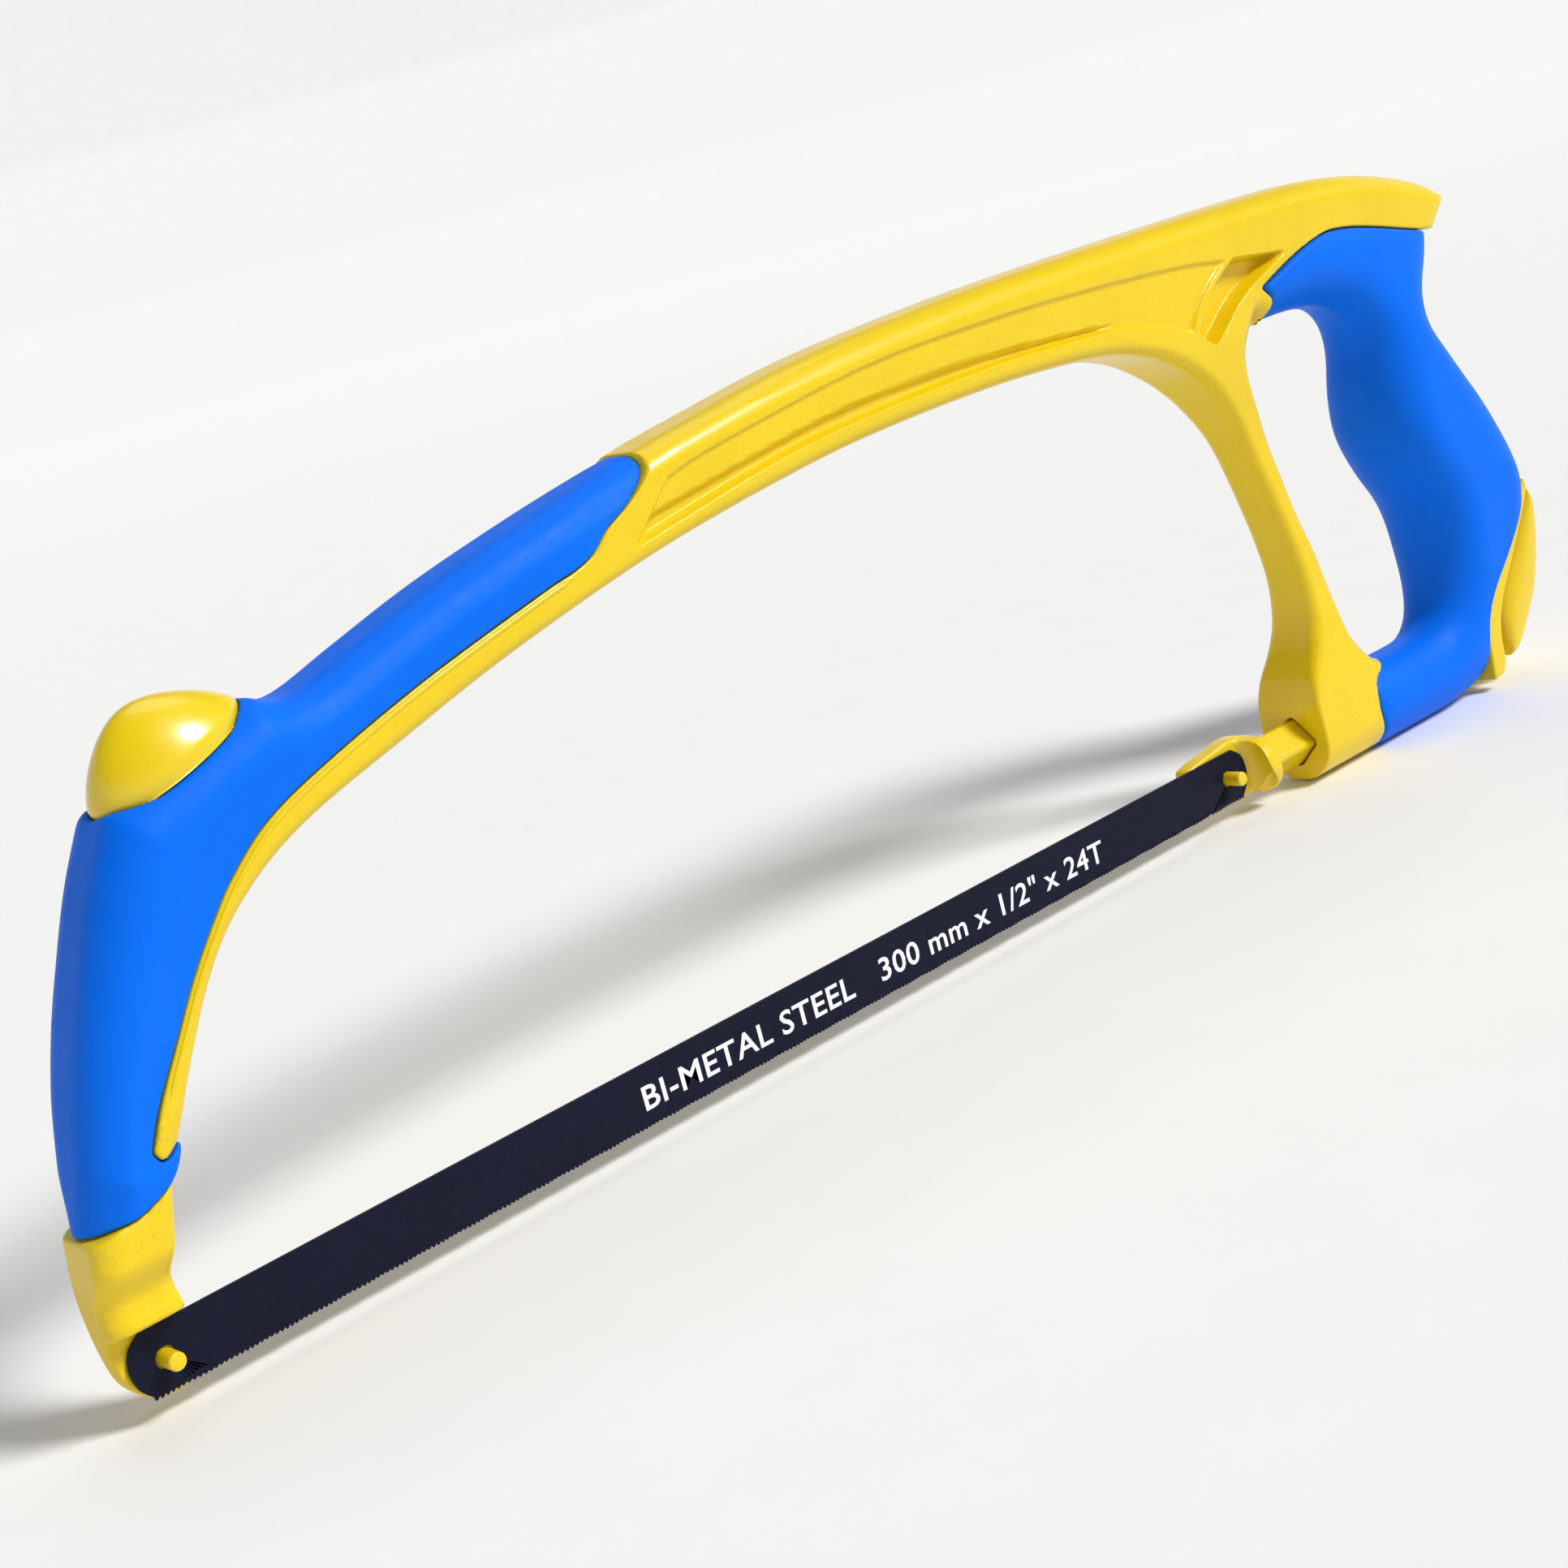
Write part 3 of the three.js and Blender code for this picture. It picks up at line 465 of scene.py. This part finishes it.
GRIP_HALF = curve([[-14, 9.6], [-5, 11], [4, 11.4], [16, 12.4], [34, 14.4], [56, 15.5],
                   [74, 15.2], [92, 13.4], [104, 12.2], [122, 12]])


def rear_rubber(x, y, z):
    half = np.interp(np.clip(z, -13.9, 121.9), *GRIP_HALF.T)
    body = slab(HANDLE(x, z), y, half, 12.5, half - 1.5)
    return common(body, REAR_RUBBER(x, z) + SEAM, 1.0)


def holder(x, y, z):
    """A plate behind the blade, a collar whose front leans forward and is scooped out round
    the blade's end, and a square shank standing on its corner."""
    plate = slab(HEAD(x, z), y - 3.02, 2.38, 0.9)
    disc = np.hypot(y, z) - 7.5
    front, rear = 308.2 - 0.36 * z - x, x - 312.4 + 0.15 * z
    collar = common(common(disc, rear, 0.7), front, 0.6)
    scoop = 4.2 - np.hypot(x - 306.2 + 0.36 * z, y + 3.4)
    collar = common(collar, scoop, 0.5)
    shank = np.maximum(square_bar(y, z, 4.4, 1.3), np.abs(x - 329.5) - 18.5)
    return join(join(plate, collar, 0.9), shank, 1.6)


# ---- 5. the blade ----------------------------------------------------------------------------
def toothed_edge(start, end):
    """Points along the cutting edge from x = start to end: gullet, tip, and back of tip."""
    count = round((end - start) / TOOTH_PITCH)
    pitch = (end - start) / count
    x = start + pitch * np.arange(count)
    tip = -BLADE_HALF_HEIGHT
    tooth = [[0, tip + TOOTH_DEPTH], [0.1 * pitch, tip], [0.34 * pitch, tip + 0.1]]
    return (np.stack([x, 0 * x], 1)[:, None, :] + np.array(tooth)[None]).reshape(-1, 2)


def saw_blade():
    """Rings about each hole, (1-t) circle + t outline, and straight columns from the teeth
    to the back between the two ends."""
    top, root = BLADE_HALF_HEIGHT, -BLADE_HALF_HEIGHT + TOOTH_DEPTH
    end_length = 9.0
    rows = np.linspace(root, top, 8)
    teeth = np.vstack([toothed_edge(end_length, HOLE_PITCH - end_length),
                       [[HOLE_PITCH - end_length, root]]])
    share = ((rows - root) / (top - root))[:, None, None]
    straight = np.stack([teeth[:, 0], np.full(len(teeth), top)], 1)
    sheet = teeth * (1 - share) + straight * share
    sheet[1:, :, 1] = rows[1:, None]
    patches = [grid_faces(sheet)]
    for sign, hole in ((-1, 0.0), (1, HOLE_PITCH)):
        rim = curve([[4.2, root], [6.3, -3.2], [7.1, 0.4], [6.1, 4.0], [3.2, top]], 6)
        rim = rim * [sign, 1] + [hole, 0]
        below = toothed_edge(-4.2, end_length) * [-sign, 1] + [hole, 0]
        inner = hole - sign * end_length
        column = np.stack([np.full(8, inner), rows], 1)
        along_back = np.stack([np.linspace(inner, rim[-1, 0], 14), np.full(14, top)], 1)
        edge = np.vstack([below[1:], column, along_back[1:-1], rim[::-1]])
        out = edge - [hole, 0]
        circle = [hole, 0] + HOLE_RADIUS * out / np.linalg.norm(out, axis=1, keepdims=True)
        t = np.array([0, 0.25, 0.55, 0.8, 1])[:, None, None]
        patches.append(grid_faces(circle * (1 - t) + edge * t, wrap=True))
    starts = np.cumsum([0] + [len(points) for points, _ in patches])
    flat, index = np.unique(np.round(np.vstack([points for points, _ in patches]), 4), axis=0,
                            return_inverse=True)
    index = index.reshape(-1)
    faces = [tuple(dict.fromkeys(index[start + i] for i in face))
             for start, (_, some) in zip(starts, patches) for face in some]
    faces = [f if area(flat, f) > 0 else f[::-1] for f in faces if len(f) > 2]
    return plate_of(flat, faces, BLADE_HALF_THICKNESS)


def area(points, face):
    """Twice the face's area, negative if it turns the other way."""
    p = points[list(face)]
    q = np.roll(p, -1, axis=0)
    return float(np.sum(p[:, 0] * q[:, 1] - q[:, 0] * p[:, 1]))


def grid_faces(grid, wrap=False):
    """A grid of points as (points, faces); with wrap its last column joins the first."""
    rows, cols = grid.shape[:2]
    i = np.arange(rows - 1)[:, None]
    j = np.arange(cols if wrap else cols - 1)[None, :]
    k = (j + 1) % cols
    faces = np.stack([i * cols + j, i * cols + k, (i + 1) * cols + k, (i + 1) * cols + j],
                     axis=2).reshape(-1, 4)
    return grid.reshape(-1, 2), [tuple(f) for f in faces]


def plate_of(flat, faces, half):
    """A flat net of [x, z] points as both faces of a plate, its open edges walled. The teeth
    lean to alternate sides by 0.17 sin(2 pi x / 8 pitches)."""
    count = len(flat)
    lean = 0.17 * np.sin(2 * np.pi * flat[:, 0] / (8 * TOOTH_PITCH))
    lean = lean * smooth((-BLADE_HALF_HEIGHT + 0.75 - flat[:, 1]) / 0.7)
    near = np.stack([flat[:, 0], lean - half, flat[:, 1]], 1)
    far = np.stack([flat[:, 0], lean + half, flat[:, 1]], 1)
    used = {}
    for f in faces:
        for a, b in zip(f, f[1:] + f[:1]):
            used[(a, b)] = used.get((a, b), 0) + 1
    walls = [(b, a, a + count, b + count) for a, b in used if (b, a) not in used]
    back_faces = [tuple(i + count for i in f[::-1]) for f in faces]
    return np.vstack([near, far]), faces + back_faces + walls


# ---- 6. turned and moulded fittings ------------------------------------------------------------
def thumb_cap():
    """A blunt egg: at the angle b over the rim plane an ellipse, its half-axes 16.6 c and
    10.2 c with c = cos b - 0.17 sin 2b, 11 sin b high and 1.2 sin b further forward; the
    whole is tilted with the bow."""
    rim = math.asin(-CAP_RIM_DEPTH / CAP_HEIGHT)
    b = np.concatenate([[rim, rim], np.linspace(rim, math.pi / 2 - 0.03, 30)])
    above = np.maximum(b, 0)
    spread = np.cos(b) - 0.17 * np.sin(2 * above)
    spread[0] *= 0.93
    a = np.linspace(0, 2 * np.pi, 96, endpoint=False)
    u = CAP_LENGTH * spread[:, None] * np.cos(a) - 1.2 * np.sin(above)[:, None]
    y = CAP_WIDTH * spread[:, None] * np.sin(a)
    rise = np.where(b < 0, CAP_HEIGHT, 11.0) * np.sin(b)
    w = np.repeat(rise[:, None], len(a), axis=1)
    x = CAP_MIDDLE[0] + u * math.cos(CAP_TILT) - w * math.sin(CAP_TILT)
    z = CAP_MIDDLE[1] + u * math.sin(CAP_TILT) + w * math.cos(CAP_TILT)
    return loft(np.stack([x, y, z], axis=2))


def lever():
    """At each step along the lever a section between its inside and outside lines: across,
    y = 10.3 c|c|^-0.4, and from inside to outside, (1 + s|s|^-0.25)/2, c and s the cosine and
    sine round the section. A round hub crosses its foot."""
    rows, around = 60, 64
    outer = even(curve(LEVER_OUTSIDE), rows)
    inner = even(curve(LEVER_INSIDE), rows)
    t = np.linspace(0, 1, rows)
    full = np.sqrt(np.clip(1 - np.abs(2 * t - 1) ** 9, 0, 1))
    full[0] = full[-1] = 0.12
    a = np.linspace(0, 2 * np.pi, around, endpoint=False)
    c, s = np.cos(a), np.sin(a)
    y = 10.3 * np.sign(c) * np.abs(c) ** 0.6
    depth = (1 + np.sign(s) * np.abs(s) ** 0.75) / 2
    middle = (outer + inner) / 2
    half = (outer - inner) / 2
    xz = middle[:, None] + half[:, None] * ((2 * depth - 1)[None, :, None] * full[:, None, None])
    ys = y[None, :] * (0.8 + 0.2 * full[:, None])
    body = np.stack([xz[:, :, 0], ys, xz[:, :, 1]], axis=2)
    hub = turned_bar(412.41, 0.26, eased_ends(-6.8, 6.8, 4.7, 0.5), 64)
    return together(loft(body), hub)


def even(points, count):
    """Points re-spaced evenly along their line."""
    step = np.linalg.norm(np.diff(points, axis=0), axis=1)
    run = np.concatenate([[0], np.cumsum(step)])
    at = np.linspace(0, run[-1], count)
    return np.stack([np.interp(at, run, points[:, i]) for i in range(points.shape[1])], 1)


def draw_rod():
    """Radius 2.5 less a thread 0.25 deep and 0.8 in pitch over the rod's rear end: the thread's
    depth is |((x/0.8 - a/2pi) mod 1) - 1/2| at the angle a."""
    x = np.concatenate([np.linspace(344.4, 392, 20), np.arange(392.1, 416.3, 0.1)])
    a = np.linspace(0, 2 * np.pi, 36, endpoint=False)
    phase = np.mod(x[:, None] / 0.8 - a[None, :] / (2 * np.pi), 1)
    r = 2.5 - 0.5 * np.abs(phase - 0.5) * smooth((x - 392) / 2)[:, None]
    r[0] -= 0.4
    r[-3:] -= np.array([0.1, 0.25, 0.5])[:, None]
    return loft(np.stack([np.repeat(x[:, None], 36, 1), r * np.cos(a), r * np.sin(a)], axis=2))


def saddle_plate():
    """A ring closed on itself: the bore's circle and the plate's rounded square
    (|cos a|^8 + |sin a|^8)^(-1/8), joined front and back with eased edges."""
    a = np.linspace(0, 2 * np.pi, 96, endpoint=False)
    square = (np.abs(np.cos(a)) ** 8 + np.abs(np.sin(a)) ** 8) ** (-1 / 8)
    rings = []
    for x, grow in ((405.8, 0.0), (405.95, 1.0), (407.25, 1.0), (407.4, 0.0)):
        spread = 0.95 + 0.05 * grow
        rings.append(np.stack([np.full(96, x), 6.8 * spread * square * np.cos(a),
                               6.2 * spread * square * np.sin(a)], 1))
    for x in (407.4, 405.8):
        rings.append(np.stack([np.full(96, x), 3.0 * np.cos(a), 3.0 * np.sin(a)], 1))
    return loft(np.array(rings), ends=False)


def bead(line, y, width, rise):
    """A half-round bead along a side-view line: at the angle a round it, width cos a across
    the line and rise sin a out from the face."""
    line = even(curve(line), 260)
    ahead = np.gradient(line, axis=0)
    ahead /= np.linalg.norm(ahead, axis=1, keepdims=True)
    across = np.stack([-ahead[:, 1], ahead[:, 0]], 1)
    a = np.linspace(0, 2 * np.pi, 16, endpoint=False)
    taper = np.minimum(1, np.minimum(np.arange(260), np.arange(260)[::-1]) / 10 + 0.1)
    xz = line[:, None] + across[:, None] * (width * taper[:, None] * np.cos(a)[None])[:, :, None]
    out = y + math.copysign(1, y) * rise * taper[:, None] * np.sin(a)[None]
    return loft(np.stack([xz[:, :, 0], out, xz[:, :, 1]], axis=2))


# ---- 7. materials ------------------------------------------------------------------------------
def material(name, colour, roughness, metallic=0.0, gloss=0.5, coat=0.0, grain=0.0,
             grain_size=0.6, speck=0.0, speck_size=0.3, tint=0.04, rough_spread=0.04):
    """A finish that reads object coordinates: a broad tint, fine specks that darken it, a
    spread of roughness, and a grain raised as bumps. Sizes are millimetres."""
    made = bpy.data.materials.new(name)
    made.use_nodes = True
    nodes, links = made.node_tree.nodes, made.node_tree.links
    shader = nodes["Principled BSDF"]
    shader.inputs["Metallic"].default_value = metallic
    shader.inputs["Specular IOR Level"].default_value = gloss
    shader.inputs["Coat Weight"].default_value = coat
    shader.inputs["Coat Roughness"].default_value = 0.12
    where = nodes.new("ShaderNodeTexCoord").outputs["Object"]

    def noise(size, detail):
        node = nodes.new("ShaderNodeTexNoise")
        node.inputs["Scale"].default_value = 1 / (size * MM)
        node.inputs["Detail"].default_value = detail
        links.new(where, node.inputs["Vector"])
        return node.outputs["Fac"]

    def spread(source, low, high, out_low, out_high):
        node = nodes.new("ShaderNodeMapRange")
        node.interpolation_type = "SMOOTHSTEP"
        for name, value in (("From Min", low), ("From Max", high), ("To Min", out_low),
                            ("To Max", out_high)):
            node.inputs[name].default_value = value
        links.new(source, node.inputs["Value"])
        return node.outputs["Result"]

    def darken(source, amount, shade):
        node = nodes.new("ShaderNodeMix")
        node.data_type = "RGBA"
        links.new(amount, node.inputs["Factor"])
        if isinstance(source, tuple):
            node.inputs["A"].default_value = source
        else:
            links.new(source, node.inputs["A"])
        node.inputs["B"].default_value = (*[c * shade for c in colour], 1)
        return node.outputs["Result"]

    broad = spread(noise(26, 3), 0.3, 0.7, 0, 1)
    look = darken((*colour, 1), broad, 1 - tint)
    specks = spread(noise(speck_size, 2), 0.52, 0.72, 0, 1)
    look = darken(look, specks, 1 - speck)
    links.new(look, shader.inputs["Base Color"])
    links.new(spread(noise(3.5, 4), 0.3, 0.7, roughness - rough_spread,
                     roughness + rough_spread), shader.inputs["Roughness"])
    bump = nodes.new("ShaderNodeBump")
    bump.inputs["Strength"].default_value = grain
    bump.inputs["Distance"].default_value = 0.1 * MM
    links.new(noise(grain_size, 3), bump.inputs["Height"])
    links.new(bump.outputs["Normal"], shader.inputs["Normal"])
    return made


PAINT = material("glossy yellow paint", (0.85, 0.60, 0.002), 0.36, gloss=0.3, coat=0.3, grain=0.35,
                 grain_size=0.55, speck=0.16, speck_size=0.35)
FITTING = material("yellow fitting paint", (0.84, 0.60, 0.004), 0.34, coat=0.3, grain=0.35,
                   grain_size=0.5, speck=0.22, speck_size=0.3)
CAP = material("yellow cap gloss", (0.84, 0.61, 0.004), 0.3, coat=0.4, grain=0.15,
               grain_size=0.7, speck=0.1, speck_size=0.3)
RUBBER = material("blue moulded rubber", (0.0, 0.155, 0.88), 0.5, gloss=0.1, grain=0.18,
                  grain_size=0.4, speck=0.05, tint=0.06)
ENAMEL = material("dark blade enamel", (0.005, 0.007, 0.025), 0.5, gloss=0.14, grain=0.4,
                  grain_size=0.4, speck=0.6, speck_size=0.35, tint=0.15, rough_spread=0.08)
STEEL = material("plated steel", (0.62, 0.63, 0.65), 0.3, metallic=1.0, grain=0.1, speck=0.1)
INK = material("white blade print", (0.86, 0.87, 0.9), 0.5, grain=0.05, speck=0.05)
FLOOR = material("pale studio floor", (0.9, 0.9, 0.89), 0.8, gloss=0.1, grain=0.05, grain_size=4,
                 tint=0.01, speck=0.0)


# ---- 8. the saw --------------------------------------------------------------------------------
def finish(piece, look, body, slot, *nodes):
    piece.data.materials.append(look)
    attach(piece, body)
    if nodes:
        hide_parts(*nodes)


finish(mesh("bow", *skin(casting, (-14, -12.4, -12), (436, 12.4, 138), 0.8)),
       PAINT, "frame", "bow_paint", "frame_casting")
LIP = [[p[0] + 0.75, p[1] - 0.85] for p in STRIP_EDGE[1:11]]
finish(mesh("strip_lip", *together(bead(LIP, -10.05, 0.55, 0.5), bead(LIP, 10.05, 0.55, 0.5))),
       PAINT, "frame", "bow_paint")
finish(mesh("front_rubber", *skin(front_rubber, (-14, -14, 20), (150, 14, 130), 0.6)),
       RUBBER, "frame", "grip_rubber", "front_grip")
finish(mesh("rear_rubber", *skin(rear_rubber, (334, -17, -14), (440, 17, 128), 0.7)),
       RUBBER, "frame", "grip_rubber", "rear_grip")
finish(mesh("thumb_dome", *thumb_cap()), CAP, "frame", "cap_plastic", "thumb_cap")
finish(mesh("front_pin", *turned_bar(0, 0, eased_ends(-4.8, 5.6, PIN_RADIUS))),
       FITTING, "frame", "fitting_paint", "front_blade_pin")
finish(mesh("cam_saddle_plate", *saddle_plate()), STEEL, "frame", "plated_steel", "cam_saddle")
finish(mesh("blade", *saw_blade(), round_over=False),
       ENAMEL, "blade", "blade_enamel", "saw_blade")
finish(mesh("holder", *skin(holder, (284, -11, -11), (350, 11, 11), 0.4)),
       FITTING, "drawbar", "fitting_paint", "blade_holder")
finish(mesh("rear_pin", *turned_bar(HOLE_PITCH + 0.2, 0, eased_ends(-4.8, 5.3, PIN_RADIUS))),
       FITTING, "drawbar", "fitting_paint", "rear_blade_pin")
finish(mesh("threaded_rod", *draw_rod()), STEEL, "drawbar", "plated_steel", "draw_rod")
finish(mesh("cross_nut", *turned_bar(412.6, 0, eased_ends(-5.0, 6.4, 3.4, 0.5))),
       STEEL, "drawbar", "plated_steel", "barrel_nut")
finish(mesh("cam_lever", *lever()), FITTING, "lever", "fitting_paint", "tension_lever")


def print_line(words, start, end, foot, height):
    """A line of plain lettering on the blade's near face, set to its length and height."""
    letters = bpy.data.curves.new("lettering", "FONT")
    letters.body = words
    letters.space_character = 1.06
    letters.offset = 0.014
    letters.resolution_u = 3
    shown = bpy.data.objects.new("lettering", letters)
    bpy.context.scene.collection.objects.link(shown)
    bpy.context.view_layer.update()
    flat = bpy.data.meshes.new_from_object(shown)
    bpy.data.objects.remove(shown)
    p = np.empty(3 * len(flat.vertices))
    flat.vertices.foreach_get("co", p)
    p = p.reshape(-1, 3)
    low, high = p.min(axis=0), p.max(axis=0)
    x = start + (p[:, 0] - low[0]) * (end - start) / (high[0] - low[0])
    z = foot + p[:, 1] * height / 0.73
    points = np.stack([x, np.full(len(p), -BLADE_HALF_THICKNESS - 0.02), z], 1)
    faces = [tuple(f.vertices) for f in flat.polygons]
    return mesh("blade_print", points, faces, np.tile([0.0, -1.0, 0.0], (len(p), 1)))


finish(print_line('BI-METAL STEEL   300 mm x 1/2" x 24T', 110, 252, -2.9, 5.2),
       INK, "blade", "blade_enamel")


# ---- 9. floor, light and camera ----------------------------------------------------------------
def floor():
    """A level disc that sweeps up far from the saw: rings of radius r, raised
    2 ((r - 3)/3)^2 beyond r = 3, in metres."""
    r = np.array([0.0, 0.5, 1.0, 2.0, 3.0, 3.5, 4.0, 4.5, 5.0, 5.5, 6.0, 6.5, 7.0]) / MM
    a = np.linspace(0, 2 * np.pi, 64, endpoint=False)
    rise = 2 * np.maximum(r * MM - 3, 0) ** 2 / 9 / MM - PIN_Z / MM - 0.4
    rings = np.stack([r[:, None] * np.cos(a), r[:, None] * np.sin(a),
                      np.repeat(rise[:, None], 64, 1)], axis=2)
    _, faces = grid_faces(rings[:, :, :2], wrap=True)
    upward = [f[::-1] for f in faces]
    return mesh("floor", rings.reshape(-1, 3), upward, np.tile([0.0, 0.0, 1.0], (13 * 64, 1)))


ground = floor()
ground.data.materials.append(FLOOR)


def aimed(name, data, at):
    light = bpy.data.objects.new(name, data)
    light.location = at
    light.rotation_euler = (Vector(MIDDLE) - Vector(at)).to_track_quat("-Z", "Y").to_euler()
    bpy.context.scene.collection.objects.link(light)


def broad_light(name, at, strength, spread):
    """A distant soft light that reaches the whole floor evenly."""
    data = bpy.data.lights.new(name, "SUN")
    data.energy = strength
    data.angle = spread
    aimed(name, data, at)


MIDDLE = (0.0, 0.0, 0.07)
broad_light("key", (0.5, -0.8, 0.95), 2.9, 0.3)
broad_light("fill", (0.35, 0.3, 1.2), 0.5, 0.7)

world = bpy.data.worlds.new("studio")
world.use_nodes = True
world.node_tree.nodes["Background"].inputs["Color"].default_value = (1, 1, 1, 1)
world.node_tree.nodes["Background"].inputs["Strength"].default_value = 0.1
bpy.context.scene.world = world
bpy.context.scene.view_settings.view_transform = "Standard"

lens = bpy.data.cameras.new("camera")
lens.lens = 59.25
lens.sensor_width = 36
lens.clip_start = 0.01
camera = bpy.data.objects.new("camera", lens)
right, up = Vector((0.71973, -0.64852, -0.24775)), Vector((0.33615, 0.01330, 0.94171))
backward = Vector((-0.60743, -0.76107, 0.22757))
turn = Matrix((right, up, backward)).transposed().to_4x4()
camera.matrix_world = Matrix.Translation(
    Vector((PIN_X - 161.64 * MM, -409.82 * MM, PIN_Z + 169.25 * MM))) @ turn
bpy.context.scene.collection.objects.link(camera)
bpy.context.scene.camera = camera

bpy.context.view_layer.update()
